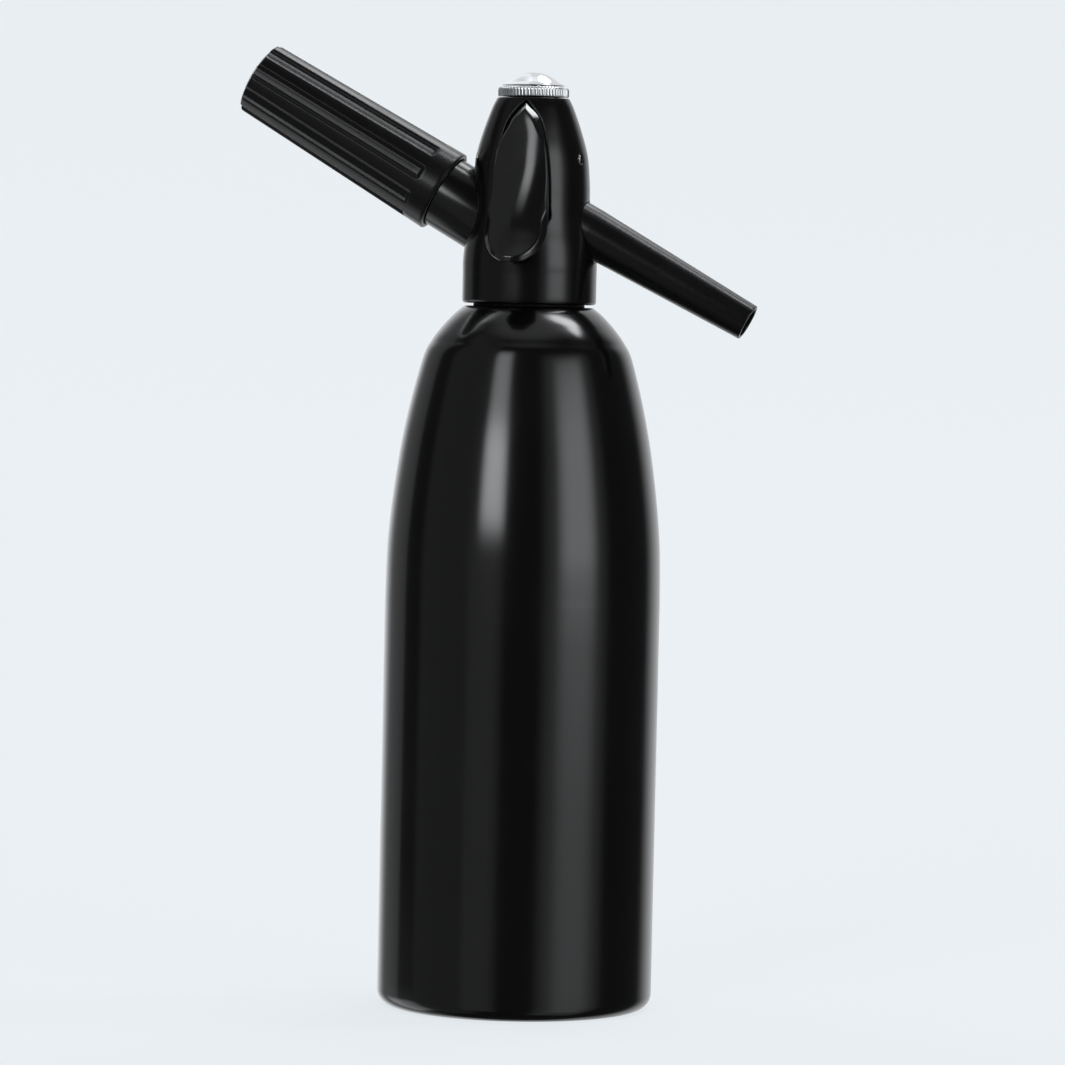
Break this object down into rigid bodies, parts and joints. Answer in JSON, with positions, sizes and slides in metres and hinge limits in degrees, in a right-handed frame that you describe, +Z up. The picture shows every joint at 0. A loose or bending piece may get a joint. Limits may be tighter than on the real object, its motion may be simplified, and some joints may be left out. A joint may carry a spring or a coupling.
{
  "type": "soda siphon",
  "caption": "Tall black soda siphon bottle with a screw-on head, press lever, downward spout, chrome cap and an angled fluted gas charger holder.",
  "frame": {"origin": "on the bottle's axis, in the plane its base ring stands on", "axes": "+Z up the bottle's axis; -Y is the side the press lever is on; +X is the side the spout points to, and the charger holder rises to -X"},
  "size_m": [0.1729, 0.09, 0.313],
  "materials": {
    "lacquered_bottle": "gloss",
    "gloss_black": "gloss",
    "satin_black": "satin",
    "black_rubber": "matte",
    "pale_rubber": "matte",
    "pale_nylon": "satin",
    "brass": "satin",
    "steel": "satin",
    "charger_steel": "satin",
    "chrome": "polished"
  },
  "bodies": {
    "bottle": {"bottle_shell": "lacquered_bottle", "neck_ring": "black_rubber"},
    "riser": {"riser_tube": "pale_nylon", "measuring_tube": "pale_nylon", "check_sleeve": "black_rubber", "riser_gasket": "pale_rubber"},
    "neck_seal": {"head_seal": "black_rubber"},
    "head": {"head_shell": "gloss_black", "valve_body": "brass", "hinge_pin": "steel", "stem_packing": "black_rubber", "packing_gland": "brass", "spout": "satin_black", "spout_insert": "satin_black", "spout_oring": "black_rubber", "charger_socket": "gloss_black", "piercing_insert": "brass", "piercing_pin": "steel", "charger_seal": "black_rubber"},
    "lever": {"lever": "gloss_black"},
    "valve": {"valve_stem": "steel", "valve_seat": "black_rubber", "valve_spring": "steel"},
    "cap_seal": {"cap_oring": "black_rubber"},
    "cap": {"cap_ring": "chrome", "cap_dome": "chrome"},
    "charger": {"charger": "charger_steel"},
    "cushion": {"cushion": "black_rubber"},
    "holder": {"holder_sleeve": "satin_black"}
  },
  "joints": [
    {"name": "head_lift", "type": "slide", "parent": "bottle", "child": "riser", "axis": [0, 0, 1], "range_m": [0, 0.24]},
    {"name": "head_rise", "type": "slide", "parent": "riser", "child": "neck_seal", "axis": [0, 0, 1], "range_m": [0, 0.0076]},
    {"name": "head_unscrew", "type": "hinge", "parent": "neck_seal", "child": "head", "pos_m": [0, 0, 0.235], "axis": [0, 0, 1], "range_deg": [0, 900]},
    {"name": "lever_press", "type": "hinge", "parent": "head", "child": "lever", "pos_m": [0, -0.006, 0.2775], "axis": [1, 0, 0], "range_deg": [0, 9], "stiffness_Nm_per_rad": 0.4, "springref_deg": -5.73},
    {"name": "valve_lift", "type": "slide", "parent": "head", "child": "valve", "axis": [0, 0, 1], "range_m": [0, 0.00096], "deforming": ["valve_spring"]},
    {"name": "cap_rise", "type": "slide", "parent": "head", "child": "cap_seal", "axis": [0, 0, 1], "range_m": [0, 0.0064]},
    {"name": "cap_unscrew", "type": "hinge", "parent": "cap_seal", "child": "cap", "pos_m": [0, 0, 0.299], "axis": [0, 0, 1], "range_deg": [0, 1800]},
    {"name": "charger_draw", "type": "slide", "parent": "head", "child": "charger", "axis": [-0.8643, 0, 0.503], "range_m": [0, 0.07]},
    {"name": "holder_travel", "type": "slide", "parent": "charger", "child": "cushion", "axis": [-0.8643, 0, 0.503], "range_m": [0, 0.0076]},
    {"name": "holder_unscrew", "type": "hinge", "parent": "cushion", "child": "holder", "pos_m": [-0.05964, 0, 0.28421], "axis": [-0.8643, 0, 0.503], "range_deg": [0, 1800]}
  ],
  "couplings": [
    {"joint": "head_rise", "follows": "head_unscrew", "m_per_rad": 0.00047746},
    {"joint": "valve_lift", "follows": "lever_press", "m_per_rad": 0.006},
    {"joint": "cap_rise", "follows": "cap_unscrew", "m_per_rad": 0.00019894},
    {"joint": "holder_travel", "follows": "holder_unscrew", "m_per_rad": 0.00023873}
  ]
}
